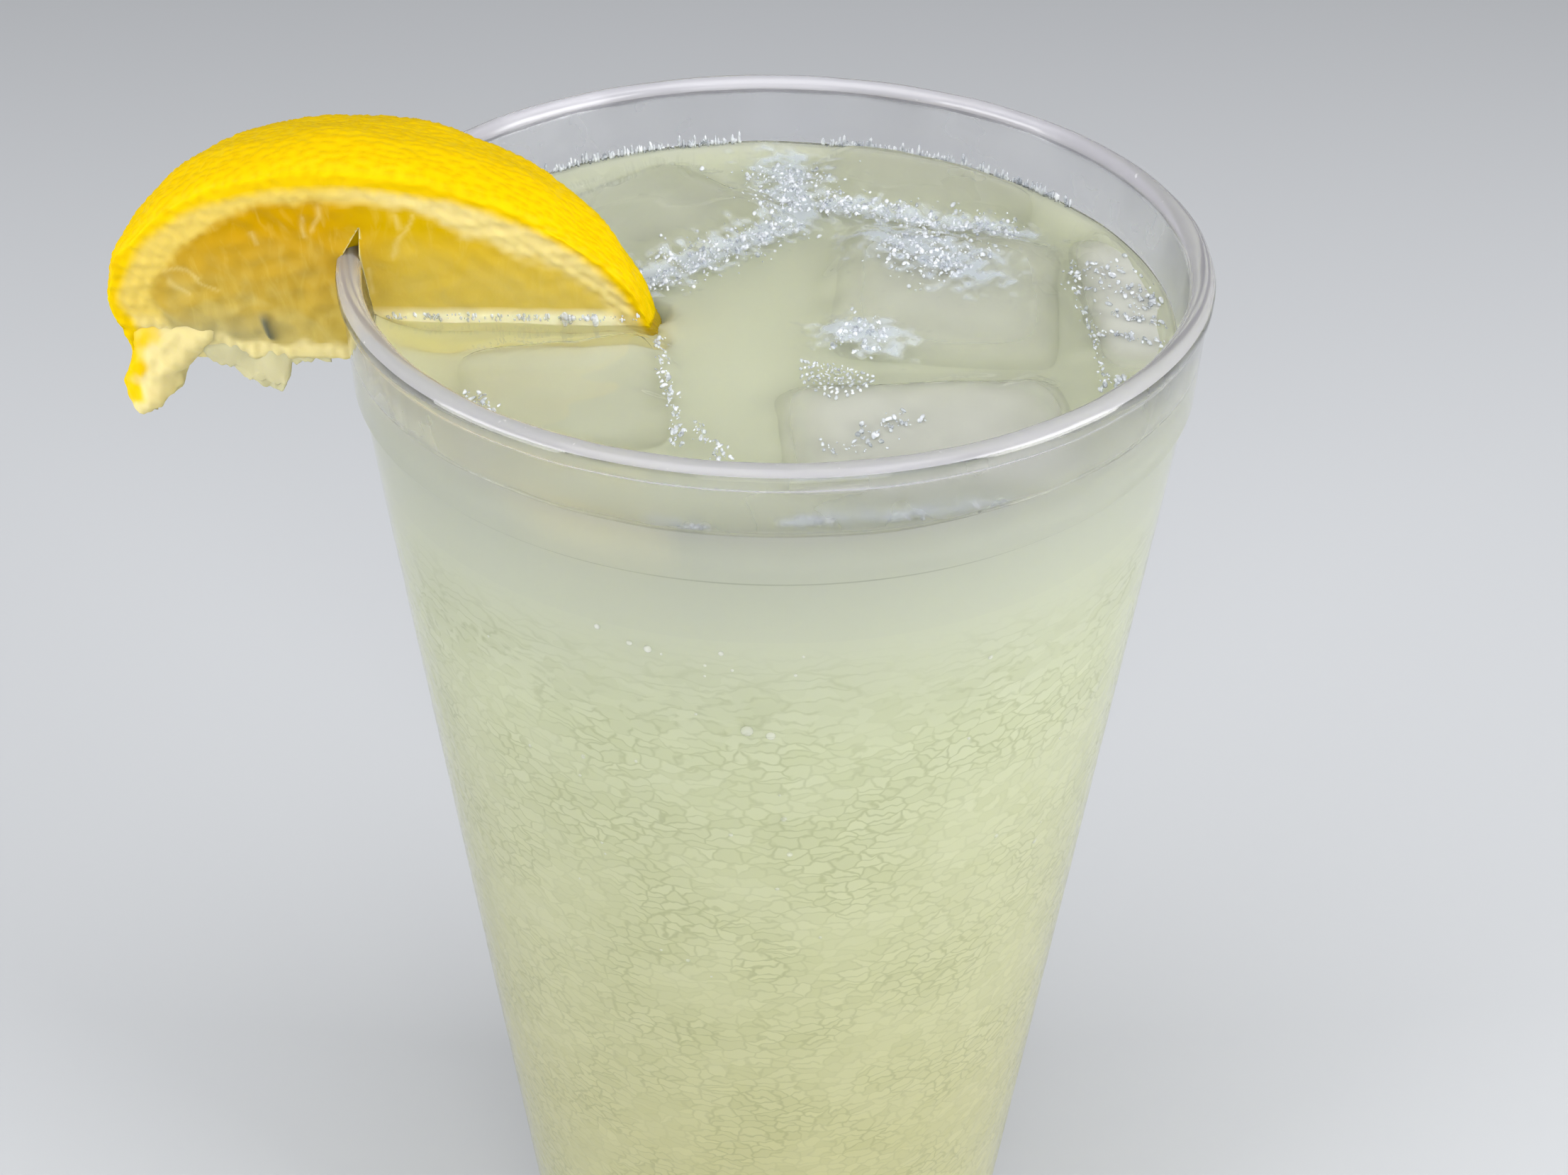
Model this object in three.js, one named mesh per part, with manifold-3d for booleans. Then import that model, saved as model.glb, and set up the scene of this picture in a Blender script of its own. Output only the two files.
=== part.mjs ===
// Clear plastic tumbler of iced lemonade with a wedge of lemon slit onto its rim.
// Millimetres, +Z up. The origin is the centre of the tumbler's underside.
// The wedge hangs at -X, and its cut face looks towards -Y.

import * as THREE from 'three';
import { RoundedBoxGeometry } from 'three/addons/geometries/RoundedBoxGeometry.js';
import { mergeVertices } from 'three/addons/utils/BufferGeometryUtils.js';
import Module from 'manifold-3d';

// Tumbler
const TUMBLER_HEIGHT = 165;
const RIM_RADIUS = 45;
const RIM_ROUND = 1.15;
const BEAD_HEIGHT = 2.2;
const BEAD_SLOPE = 0.4;
const WALL_RADIUS_AT_RIM = 44.87;
const WALL_TAPER = 0.085;
const WALL_THICKNESS = 2.32;
const STEP_BELOW_RIM = 12.5;
const STEP_WIDTH = 0.6;
const SHOULDER_RADIUS = 44.6;
const FOOT_ROUND = 3;
const FLOOR_THICKNESS = 5;
const FLOOR_ROUND = 6;
const FACETS_ROUND = 72;

// Drink and the gap that neighbouring pieces keep
const LEVEL_BELOW_RIM = 8.5;
const GAP = 0.3;
const DRINK_LEVEL = TUMBLER_HEIGHT - LEVEL_BELOW_RIM;

// Ice: width, depth and height of each block, where its middle floats across the drink, how far its
// top stands above the drink, its turn and lean in degrees, and how round melting has made it
const ICE_ROUND_SEGMENTS = 2;
const ICE_PIECES = [
  {
    name: 'ice_front_left', size: [20, 20, 21], at: [-20.9, -17], rise: 0.9,
    turn: 9, lean: [2.5, -3], round: 2.6,
  },
  {
    name: 'ice_middle', size: [24, 28, 24], at: [18.3, 4.2], rise: 1.2,
    turn: -6, lean: [1.5, 1.5], round: 3,
  },
  {
    name: 'ice_right', size: [12, 31, 21], at: [38.6, 2.6], rise: 1,
    turn: 1, lean: [0, 2], round: 2.4,
  },
  {
    name: 'ice_back_left', size: [22.6, 20, 22], at: [-14.1, 23.6], rise: 1,
    turn: 45, lean: [-2, 1], round: 2.6,
  },
  {
    name: 'ice_back_right', size: [26.5, 16, 20], at: [18.2, 31.9], rise: 1.2,
    turn: -20.7, lean: [2, 0], round: 2.6,
  },
  {
    name: 'ice_front_right', size: [29, 20, 18], at: [15, -24.2], rise: 0.8,
    turn: 3, lean: [0, -1], round: 6,
  },
];

// Lemon wedge: an eighth of a lemon, cut from stem to tip, core edge down
const LEMON_RADIUS = 24.4;
const STEM_LENGTH = 28.1;
const STEM_FULLNESS = 2.26;
const STEM_DIMPLE_DEPTH = 3;
const STEM_DIMPLE_RADIUS = 9;
const TIP_LENGTH = 30.9;
const TIP_FULLNESS = 1.8;
const LEMON_STEPS = 36;
const LEMON_FACETS = 64;
const FRONT_LEAN = 12.4;
const BACK_LEAN = 32.6;
const CORE_HALF_WIDTH = 0.6;
const CORE_BELOW_AXIS = 0.5;
const WEDGE_OUT = 43.1;
const WEDGE_FORWARD = 1.4;
const WEDGE_BELOW_RIM = 13.2;
const WEDGE_TURN = -1.1;
const WEDGE_TIP_UP = 0.8;
const STEM_NUB_THICKNESS = 5;
const PITH_FLAP_THICKNESS = 1.6;
const SLIT_ABOVE_RIM = 4.2;
const SLIT_BELOW_RIM = 40;

const wasm = await Module();
wasm.setup();

// A closed geometry as a solid: vertices that share a place are welded, and the triangles that
// a lathe leaves without area on its axis are dropped
function solidOf(geometry) {
  const bare = geometry.clone();
  bare.deleteAttribute('normal');
  bare.deleteAttribute('uv');
  const welded = mergeVertices(bare, 1e-4);
  const corners = welded.index.array;
  const triangles = [];
  for (let i = 0; i < corners.length; i += 3) {
    const [a, b, c] = corners.slice(i, i + 3);
    if (a !== b && b !== c && c !== a) {
      triangles.push(a, b, c);
    }
  }
  return new wasm.Manifold(new wasm.Mesh({
    numProp: 3,
    vertProperties: new Float32Array(welded.attributes.position.array),
    triVerts: new Uint32Array(triangles),
  }));
}

function geometryOf(solid) {
  const { vertProperties, triVerts } = solid.getMesh();
  const geometry = new THREE.BufferGeometry();
  geometry.setAttribute('position', new THREE.BufferAttribute(vertProperties, 3));
  geometry.setIndex(new THREE.BufferAttribute(triVerts, 1));
  geometry.computeVertexNormals();
  return geometry;
}

// A profile of radius and height, turned about the tumbler's axis
function turned(profile) {
  const curveSteps = 3;
  const geometry = new THREE.LatheGeometry(profile.getPoints(curveSteps), FACETS_ROUND);
  return geometry.rotateX(Math.PI / 2);
}

// An outline drawn along the axes across and up, made thick about its own plane
function thickened(outline, thickness, across, up) {
  const geometry = new THREE.ExtrudeGeometry(outline, {
    depth: thickness,
    bevelEnabled: false,
    curveSegments: 5,
  });
  geometry.translate(0, 0, -thickness / 2);
  const through = new THREE.Vector3().crossVectors(across, up);
  return geometry.applyMatrix4(new THREE.Matrix4().makeBasis(across, up, through));
}

function outerRadius(z) {
  return WALL_RADIUS_AT_RIM - WALL_TAPER * (TUMBLER_HEIGHT - z);
}

function innerRadius(z) {
  return outerRadius(z) - WALL_THICKNESS;
}

// Wall with a stacking step under the rim, a rounded bead and a thick flat floor
function tumblerGeometry() {
  const step = TUMBLER_HEIGHT - STEP_BELOW_RIM;
  const bead = TUMBLER_HEIGHT - BEAD_HEIGHT;
  const crown = TUMBLER_HEIGHT - RIM_ROUND;
  const floorEdge = FLOOR_THICKNESS + FLOOR_ROUND;
  const profile = new THREE.Path();
  profile.moveTo(0, 0);
  profile.lineTo(outerRadius(0) - FOOT_ROUND, 0);
  profile.quadraticCurveTo(outerRadius(0), 0, outerRadius(FOOT_ROUND), FOOT_ROUND);
  profile.lineTo(outerRadius(step), step);
  profile.lineTo(outerRadius(step) + STEP_WIDTH, step + STEP_WIDTH);
  profile.lineTo(SHOULDER_RADIUS, bead);
  profile.lineTo(RIM_RADIUS, bead + BEAD_SLOPE);
  profile.lineTo(RIM_RADIUS, crown);
  profile.absarc(RIM_RADIUS - RIM_ROUND, crown, RIM_ROUND, 0, Math.PI / 2);
  profile.absarc(innerRadius(crown) + RIM_ROUND, crown, RIM_ROUND, Math.PI / 2, Math.PI);
  profile.lineTo(innerRadius(floorEdge), floorEdge);
  profile.quadraticCurveTo(innerRadius(FLOOR_THICKNESS), FLOOR_THICKNESS,
    innerRadius(FLOOR_THICKNESS) - FLOOR_ROUND, FLOOR_THICKNESS);
  profile.lineTo(0, FLOOR_THICKNESS);
  return turned(profile);
}

// The tumbler's inside, drawn in by a gap, from its floor up to a height
function fillingGeometry(gap, top) {
  const bottom = FLOOR_THICKNESS + gap;
  const edge = bottom + FLOOR_ROUND;
  const profile = new THREE.Path();
  profile.moveTo(0, bottom);
  profile.lineTo(innerRadius(bottom) - gap - FLOOR_ROUND, bottom);
  profile.quadraticCurveTo(innerRadius(bottom) - gap, bottom, innerRadius(edge) - gap, edge);
  profile.lineTo(innerRadius(top) - gap, top);
  profile.lineTo(0, top);
  return turned(profile);
}

// A melting block of ice, grown by a margin all round, afloat at its place
function iceBlock({ size, at, turn, lean, rise, round }, margin) {
  const [width, depth, height] = size.map((side) => side + 2 * margin);
  const block = new RoundedBoxGeometry(width, depth, height, ICE_ROUND_SEGMENTS, round + margin);
  const afloat = new THREE.Matrix4().makeRotationFromEuler(new THREE.Euler(
    THREE.MathUtils.degToRad(lean[0]),
    THREE.MathUtils.degToRad(lean[1]),
    THREE.MathUtils.degToRad(turn),
    'ZYX',
  ));
  afloat.setPosition(at[0], at[1], DRINK_LEVEL + rise - size[2] / 2);
  return solidOf(block.applyMatrix4(afloat));
}

// Lemon radius at a fraction of the way from its middle to the stem (-1) or the tip (+1)
function lemonRadius(fraction) {
  const fullness = fraction < 0 ? STEM_FULLNESS : TIP_FULLNESS;
  return LEMON_RADIUS * Math.sqrt(1 - Math.abs(fraction) ** fullness);
}

// Depth of the hollow round the stem at a distance from the lemon's axis
function stemDimple(radius) {
  return STEM_DIMPLE_DEPTH * Math.max(0, 1 - (radius / STEM_DIMPLE_RADIUS) ** 2) ** 2;
}

// Whole lemon along X, stem at -X
function lemonGeometry(margin) {
  const profile = [];
  for (let i = 0; i <= LEMON_STEPS; i += 1) {
    const fraction = -Math.cos(Math.PI * i / LEMON_STEPS);
    const atEnd = i === 0 || i === LEMON_STEPS;
    const radius = atEnd ? 0 : lemonRadius(fraction) + margin;
    const along = fraction < 0
      ? fraction * (STEM_LENGTH + margin) + stemDimple(radius)
      : fraction * (TIP_LENGTH + margin);
    profile.push(new THREE.Vector2(radius, along));
  }
  return new THREE.LatheGeometry(profile, LEMON_FACETS).rotateZ(-Math.PI / 2);
}

// The two knife cuts that meet at the core, as a sector across the lemon
function sectorGeometry(margin) {
  const reach = 2 * LEMON_RADIUS;
  const half = CORE_HALF_WIDTH + margin;
  const bottom = -CORE_BELOW_AXIS - margin;
  const outline = new THREE.Shape();
  outline.moveTo(-half, bottom);
  outline.lineTo(half, bottom);
  outline.lineTo(half + reach * Math.tan(THREE.MathUtils.degToRad(BACK_LEAN)), reach);
  outline.lineTo(-half - reach * Math.tan(THREE.MathUtils.degToRad(FRONT_LEAN)), reach);
  outline.closePath();
  return thickened(outline, 4 * LEMON_RADIUS, new THREE.Vector3(0, 1, 0), new THREE.Vector3(0, 0, 1));
}

// Stub of rind and pith left at the stem, where the knife missed the lemon's end
function stemNubGeometry() {
  const outline = new THREE.Shape();
  outline.moveTo(-25.4, 2.5);
  outline.quadraticCurveTo(-24.3, -0.3, -27.6, -0.8);
  outline.lineTo(-26.8, -3);
  outline.lineTo(-27.2, -6.6);
  outline.lineTo(-25.6, -7.3);
  outline.quadraticCurveTo(-21.8, -6.2, -20.9, -4.6);
  outline.quadraticCurveTo(-20.4, -0.4, -16.5, 0.4);
  outline.lineTo(-16.5, 4);
  outline.lineTo(-22, 6);
  outline.closePath();
  return thickened(outline, STEM_NUB_THICKNESS, new THREE.Vector3(1, 0, 0), new THREE.Vector3(0, 0, 1));
}

// Flap of torn pith that hangs under the core edge, outside the tumbler
function pithFlapGeometry() {
  const outline = new THREE.Shape();
  outline.moveTo(-18.4, 1.5);
  outline.quadraticCurveTo(-15, -3, -10.6, -5);
  outline.lineTo(-9.2, -4.4);
  outline.lineTo(-9, -2.6);
  outline.quadraticCurveTo(-8.4, -0.8, -5, -0.9);
  outline.lineTo(-4, 1.5);
  outline.closePath();
  return thickened(outline, PITH_FLAP_THICKNESS, new THREE.Vector3(1, 0, 0), new THREE.Vector3(0, 0, 1));
}

// Room for the rim in the wedge: a sleeve round the wall whose top gapes like a knife slit
function slitGeometry() {
  const bottom = TUMBLER_HEIGHT - SLIT_BELOW_RIM;
  const top = TUMBLER_HEIGHT + GAP;
  const profile = new THREE.Path();
  profile.moveTo(innerRadius(bottom) - GAP, bottom);
  profile.lineTo(RIM_RADIUS + GAP, bottom);
  profile.lineTo(RIM_RADIUS + GAP, top);
  profile.lineTo((RIM_RADIUS + innerRadius(TUMBLER_HEIGHT)) / 2, TUMBLER_HEIGHT + SLIT_ABOVE_RIM);
  profile.lineTo(innerRadius(TUMBLER_HEIGHT) - GAP, top);
  profile.closePath();
  return turned(profile);
}

const wedgePlace = new THREE.Matrix4().makeRotationFromEuler(new THREE.Euler(
  0,
  -THREE.MathUtils.degToRad(WEDGE_TIP_UP),
  THREE.MathUtils.degToRad(WEDGE_TURN),
  'ZYX',
));
wedgePlace.setPosition(-WEDGE_OUT, -WEDGE_FORWARD, TUMBLER_HEIGHT - WEDGE_BELOW_RIM);

function wedgeBody(margin) {
  const lemon = solidOf(lemonGeometry(margin).applyMatrix4(wedgePlace));
  return lemon.intersect(solidOf(sectorGeometry(margin).applyMatrix4(wedgePlace)));
}

function lemonWedge() {
  return wedgeBody(0)
    .add(solidOf(stemNubGeometry().applyMatrix4(wedgePlace)))
    .add(solidOf(pithFlapGeometry().applyMatrix4(wedgePlace)))
    .subtract(solidOf(slitGeometry()));
}

// Ice stays inside the wall, and the drink is cut round the ice and the wedge
const iceRoom = solidOf(fillingGeometry(2 * GAP, TUMBLER_HEIGHT));
let drink = solidOf(fillingGeometry(GAP, DRINK_LEVEL)).subtract(wedgeBody(GAP));
for (const piece of ICE_PIECES) {
  drink = drink.subtract(iceBlock(piece, GAP));
}

const clearPlastic = { color: 0xe4e7e6, roughness: 0.15, metalness: 0, transparent: true, opacity: 0.35 };
const cloudyLemonade = { color: 0xcbd1ae, roughness: 0.1, metalness: 0 };
const wetIce = { color: 0xdfe5dd, roughness: 0.1, metalness: 0 };
const lemonRind = { color: 0xffd500, roughness: 0.45, metalness: 0 };

const group = new THREE.Group();

function addPiece(name, geometry, finish) {
  const mesh = new THREE.Mesh(geometry, new THREE.MeshStandardMaterial(finish));
  mesh.name = name;
  group.add(mesh);
}

addPiece('tumbler', geometryOf(solidOf(tumblerGeometry())), clearPlastic);
addPiece('lemonade', geometryOf(drink), cloudyLemonade);
for (const piece of ICE_PIECES) {
  addPiece(piece.name, geometryOf(iceBlock(piece, 0).intersect(iceRoom)), wetIce);
}
addPiece('lemon_wedge', geometryOf(lemonWedge()), lemonRind);

export default group;
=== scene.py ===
"""Looks of a clear plastic tumbler of iced lemonade with a lemon wedge slit onto its rim.

Shapes are worked out in millimetres as numpy arrays and become metres when a mesh is made.
The tumbler stands on z = 0 with its axis on Z, the wedge hangs at -X and its cut face looks to -Y.
"""
import math

import bmesh
import bpy
import numpy as np
from mathutils import Matrix, Vector


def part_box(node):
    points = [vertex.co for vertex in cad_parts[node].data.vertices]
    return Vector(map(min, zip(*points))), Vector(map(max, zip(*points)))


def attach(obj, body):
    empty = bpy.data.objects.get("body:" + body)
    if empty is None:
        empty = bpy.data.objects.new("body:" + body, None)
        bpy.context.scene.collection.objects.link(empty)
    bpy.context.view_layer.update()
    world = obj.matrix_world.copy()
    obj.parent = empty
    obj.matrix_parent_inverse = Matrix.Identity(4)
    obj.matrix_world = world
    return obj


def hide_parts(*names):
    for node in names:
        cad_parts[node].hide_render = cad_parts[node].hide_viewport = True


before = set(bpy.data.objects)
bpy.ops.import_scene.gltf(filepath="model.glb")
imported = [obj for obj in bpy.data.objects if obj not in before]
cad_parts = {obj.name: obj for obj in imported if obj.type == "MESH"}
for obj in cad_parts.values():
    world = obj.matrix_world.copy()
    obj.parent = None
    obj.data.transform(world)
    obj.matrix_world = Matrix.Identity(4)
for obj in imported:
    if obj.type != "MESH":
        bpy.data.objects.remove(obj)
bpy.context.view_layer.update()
scene = bpy.context.scene

MM = 0.001
WELD = 1e-6

# Tumbler, from the frame where its box gives the size
tumbler_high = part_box("tumbler")[1]
RIM_HEIGHT = round(tumbler_high.z / MM, 3)
RIM_RADIUS = round(tumbler_high.x / MM, 3)
RIM_ROUND = 1.15
BEAD_HEIGHT = 2.2
WALL_RADIUS_AT_RIM = 44.87
WALL_TAPER = 0.085
WALL_THICKNESS = 2.32
STEP_BELOW_RIM = 12.5
STEP_WIDTH = 0.6
SHOULDER_RADIUS = 44.6
FOOT_ROUND = 3
FLOOR_THICKNESS = 5
FLOOR_ROUND = 6
COLUMNS_ROUND = 300
WALL_COLUMNS = 360
PEBBLE_ROWS = 206
WORN_FOOT_ROWS = 7
PEBBLE_WIDTH = 2.3
PEBBLE_HEIGHT = 1.15
RIPPLE_WIDTH = 5.5
RIPPLE_HEIGHT = 1.2
RIPPLES_FOOT = RIM_HEIGHT - 36
RIPPLES_FULL = RIM_HEIGHT - 24
PEBBLE_RELIEF = 0.09
PEBBLES_TOP = RIM_HEIGHT - 19
PEBBLES_FULL = RIM_HEIGHT - 30
PLASTIC_IOR = 1.56

# Drink
DRINK_LEVEL = round(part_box("lemonade")[1].z / MM, 3)
INTO_WALL = 0.06
MENISCUS_HEIGHT = 0.9
MENISCUS_WIDTH = 1.2
FILM_ON_ICE = 0.45
CLEAR_DEPTH = 1.8
SURFACE_RINGS = 110
CLOUDY_RINGS = 70
BED_RINGS = 60
WATER_IOR = 1.33
ICE_CORNER = 4
ICE_ROWS = 64
ICE_COLUMNS = 112
ICE_SQUARENESS = 9
ICE_IN_DRINK_IOR = 1.04

# Ice: size, middle, rise of the top above the drink, turn and lean in degrees, share of milky veil,
# and how far the eye sees down through it
ICE_KEYS = ("size", "at", "rise", "turn", "lean", "veil", "seen")
ICE_PIECES = {name: dict(zip(ICE_KEYS, values)) for name, *values in (
    ("ice_front_left", (20, 20, 21), (-20.9, -17), 0.9, 9, (2.5, -3), 0.1, 2.4),
    ("ice_middle", (24, 28, 24), (18.3, 4.2), 1.2, -6, (1.5, 1.5), 0.4, 1.2),
    ("ice_right", (12, 31, 21), (38.6, 2.6), 1.0, 1, (0, 2), 0.95, 0.1),
    ("ice_back_left", (22.6, 20, 22), (-14.1, 23.6), 1.0, 45, (-2, 1), 0.2, 5.5),
    ("ice_back_right", (26.5, 16, 20), (18.2, 31.9), 1.2, -20.7, (2, 0), 0.25, 4.5),
    ("ice_front_right", (29, 20, 18), (15, -24.2), 0.8, 3, (0, -1), 0.75, 0.3),
)}

# Frost and froth on the ice: from, to, and how wide. The last two, by the front wall, are white
# froth put as painted highlights
FROST_AND_GLINT_BANDS = [
    ((-14.8, 5.8), (2, 22), 3.8),
    ((2.5, 24), (1, 37), 5.2),
    ((5, 26.5), (27.5, 18.5), 2.8),
    ((13, 15.3), (21, 8.2), 6.0),
    ((6.5, -5), (11.5, -7), 3.6),
    # The next two bands are painted highlights
    ((2, -39), (20, -35.5), 1.4),
    ((-10.5, -38.6), (-6, -40.3), 1.0),
]
BEADS_ON_BANDS = (400, 360, 400, 360, 100, 70, 30)
LARGEST_ON_BANDS = 0.3
SMALLEST_BEAD = 0.08
FAN_MIDDLE = (6.3, -11.2)
# Further crowds of beads: from, to, how wide, how many and the largest radius
FROTH_CROWDS = [
    ((-12.2, -6), (-9, -27), 0.8, 120, 0.26),
    ((-8, -22), (-4, -31), 1.0, 50, 0.26),
    ((34, 11), (40, 0), 4.0, 110, 0.3),
    ((34, -1), (41, -4), 1.0, 50, 0.26),
    ((33.5, -5), (40, -8), 0.8, 50, 0.26),
    ((32.5, 12), (33, -14), 0.6, 70, 0.24),
    ((33, -14), (38, -16), 2.0, 40, 0.3),
    ((5, -29), (14, -22), 2.0, 70, 0.28),
    ((-31, -18), (-27, -22), 1.2, 40, 0.28),
]

# Drops along the waterline: two stretches of the back wall, and small and large ones on the lemon
DROPS_RIGHT, DROPS_LEFT = 300, 320
DROPS_SMALL, DROPS_LARGE = 170, 8

# Bubbles on the front of the wall: degrees round it, how far below the rim, and radius
WALL_BUBBLES = [
    (266.8, 31.9, 0.62), (270, 32.5, 0.5), (253.8, 22.7, 0.42),
    (251.3, 22.4, 0.3), (246.9, 21.3, 0.32), (263.5, 22.1, 0.28),
]
FINE_BUBBLES = 30

# Lemon wedge
LEMON_RADIUS = 24.4
STEM_LENGTH = 28.1
STEM_FULLNESS = 2.26
STEM_DIMPLE_DEPTH = 3
STEM_DIMPLE_RADIUS = 9
TIP_LENGTH = 30.9
TIP_FULLNESS = 1.8
FRONT_LEAN = math.radians(12.4)
BACK_LEAN = math.radians(32.6)
CORE_HALF_WIDTH = 0.6
CORE_BELOW_AXIS = 0.5
WEDGE_PLACE = np.array([-43.1, -1.4, RIM_HEIGHT - 13.2])
WEDGE_TURN = math.radians(-1.1)
WEDGE_TIP_UP = math.radians(0.8)
SLIT_ABOVE_RIM = 3.0
SLIT_BELOW_RIM = 40
SLIT_GAP = -0.05
EDGE_ROUND = 0.8
PORE_SPACING = 0.95
LEMON_ROWS = 281
FRONT_POINTS, RIND_POINTS, BACK_POINTS = 64, 90, 40
LEMON_IOR = 1.4
SLIT_COLUMNS = 720
NUB_ROWS, NUB_COLUMNS = 60, 72
FLAP_ROWS, FLAP_COLUMNS = 90, 64
# Pale fibres in the flesh, the four from along -19 to -14 being painted highlights on wet
# membranes: from and to, as places along the core and out from it
LEMON_FIBRES_AND_GLINTS = [
    ((6.9, 18.8), (6.0, 16.4)), ((6.0, 16.4), (4.6, 13.3)), ((5.1, 19.0), (5.6, 16.9)),
    ((-19.3, 11.1), (-17.4, 11.3)), ((-17.4, 11.3), (-15.7, 10.7)), ((-16.4, 10.9), (-14.5, 8.7)),
    ((-19.2, 9.9), (-17.8, 8.4)), ((-9.5, 16.3), (-9.0, 15.1)), ((-4.1, 18.7), (-3.9, 15.9)),
    ((-1.9, 19.6), (-3.0, 16.8)), ((1.8, 11.9), (1.8, 8.6)),
]

# Camera, as the photograph was taken
CAMERA_DISTANCE = 213.2
CAMERA_ELEVATION = math.radians(26.21)
CAMERA_PAN = math.radians(0.40)
CAMERA_TILT = math.radians(-35.97)
CAMERA_ROLL = math.radians(0.888)
FOCAL_LENGTH = 46.65
SENSOR_WIDTH = 36


def to_linear(hex_colour):
    """The linear colour, with full alpha, of an sRGB hex value."""
    channels = np.array([int(hex_colour[i:i + 2], 16) for i in (1, 3, 5)]) / 255
    linear = np.where(channels <= 0.04045, channels / 12.92, ((channels + 0.055) / 1.055) ** 2.4)
    return (*linear.tolist(), 1.0)


def smooth(low, high, x):
    """0 below low, 1 above high, and the cubic 3t^2 - 2t^3 between them."""
    t = np.clip((x - low) / (high - low), 0, 1)
    return t * t * (3 - 2 * t)


def waves(place, length, seed, count=14):
    """Soft noise from about -1 to 1: a sum of sines of random way and phase, near one length."""
    random = np.random.default_rng(seed)
    directions = random.normal(size=(count, place.shape[-1]))
    directions /= np.linalg.norm(directions, axis=1, keepdims=True)
    rates = 2 * np.pi / (length * random.uniform(0.6, 1.7, count))
    phases = random.uniform(0, 2 * np.pi, count)
    total = sum(
        np.sin(place @ direction * rate + phase)
        for direction, rate, phase in zip(directions, rates, phases)
    )
    return total / math.sqrt(count)


def cells(u, v, around, seed):
    """Distances to the nearest two of points strewn one to each unit square of u and v.

    u repeats after a whole number of squares, so a pattern closes round the tumbler.
    """
    random = np.random.default_rng(seed)
    rows = int(np.ceil(v.max() - v.min())) + 4
    strewn = random.uniform(0.08, 0.92, (around, rows, 2))
    first = np.full(u.shape, 9.0)
    second = np.full(u.shape, 9.0)
    for du in (-1, 0, 1):
        for dv in (-1, 0, 1):
            column = np.floor(u).astype(int) + du
            row = np.floor(v).astype(int) + dv
            point = strewn[column % around, row % rows]
            distance = np.hypot(column + point[..., 0] - u, row + point[..., 1] - v)
            second = np.minimum(second, np.maximum(first, distance))
            first = np.minimum(first, distance)
    return first, second


def from_line(place, start, end):
    """Distance of each place from a straight line between two points."""
    run = np.subtract(end, start)
    t = np.clip((place - start) @ run / (run @ run), 0, 1)
    return np.linalg.norm(place - (np.array(start) + t[..., None] * run), axis=-1)


def full_turn(count):
    """Angles evenly round a circle."""
    return np.linspace(0, 2 * np.pi, count, endpoint=False)


def turned(radius, angle, height):
    """Points at a radius, an angle and a height about Z."""
    return np.stack([radius * np.cos(angle), radius * np.sin(angle), height], -1)


def grid_faces(rows, columns):
    """Quads between neighbours of a grid of points whose last column joins its first."""
    row = np.arange(rows - 1)[:, None] * columns
    column = np.arange(columns)[None, :]
    beside = (column + 1) % columns
    quads = [row + column, row + beside, row + columns + beside, row + columns + column]
    return np.stack(np.broadcast_arrays(*quads), -1).reshape(-1, 4)


def grid_normals(points):
    """Unit normals of a grid: the cross product of its differences along columns and rows."""
    along = np.gradient(points, axis=0)
    round_about = np.roll(points, -1, axis=1) - np.roll(points, 1, axis=1)
    normals = np.cross(round_about, along)
    return normals / np.maximum(np.linalg.norm(normals, axis=-1, keepdims=True), 1e-9)


def make_mesh(name, points, values=None, faces=None, weld=True, wrap=None, finishes=None):
    """A mesh in metres from points in millimetres, a grid of them unless faces are given.

    Values go to points, wrap coordinates to face corners, and finishes to faces. Welding closes
    poles and turns faces outward.
    """
    mesh = bpy.data.meshes.new(name)
    if faces is None:
        faces = grid_faces(*points.shape[:2])
    points = np.asarray(points, float).reshape(-1, 3) * MM
    mesh.vertices.add(len(points))
    mesh.vertices.foreach_set("co", points.astype(np.float32).ravel())
    mesh.loops.add(faces.size)
    mesh.loops.foreach_set("vertex_index", faces.astype(np.int32).ravel())
    mesh.polygons.add(len(faces))
    starts = np.arange(0, faces.size, faces.shape[1], dtype=np.int32)
    mesh.polygons.foreach_set("loop_start", starts)
    mesh.update(calc_edges=True)
    for key, value in (values or {}).items():
        attribute = mesh.attributes.new(key, "FLOAT", "POINT")
        attribute.data.foreach_set("value", np.asarray(value, np.float32).ravel())
    if wrap is not None:
        mesh.uv_layers.new(name="wrap").data.foreach_set("uv", wrap.astype(np.float32).ravel())
    if finishes is not None:
        mesh.polygons.foreach_set("material_index", finishes.astype(np.int32).ravel())
    if weld:
        form = bmesh.new()
        form.from_mesh(mesh)
        bmesh.ops.remove_doubles(form, verts=form.verts, dist=WELD)
        bmesh.ops.recalc_face_normals(form, faces=form.faces)
        form.to_mesh(mesh)
        form.free()
    mesh.validate()
    return mesh


def put(name, data):
    """An object of some data, in the scene."""
    made = bpy.data.objects.new(name, data)
    scene.collection.objects.link(made)
    return made


def make_piece(mesh, materials, slot, *stands_for):
    """A shaded piece that rides on the part's one body and stands for CAD nodes."""
    mesh.shade_smooth()
    made = put(mesh.name, mesh)
    for material in materials:
        made.data.materials.append(material)
    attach(made, "root")
    if stands_for:
        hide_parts(*stands_for)


def add(tree, kind, inputs=None, **settings):
    """Adds a shader node of a kind, sets its options, fills its inputs with values or links."""
    made = tree.nodes.new("ShaderNode" + kind)
    for option, value in settings.items():
        setattr(made, option, value)
    for socket, value in (inputs or {}).items():
        if isinstance(value, bpy.types.NodeSocket):
            tree.links.new(value, made.inputs[socket])
        else:
            made.inputs[socket].default_value = value
    return made


def new_material(name):
    """A node material without nodes yet, and its node tree."""
    material = bpy.data.materials.new(name)
    material.use_nodes = True
    tree = material.node_tree
    tree.nodes.clear()
    return material, tree


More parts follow.
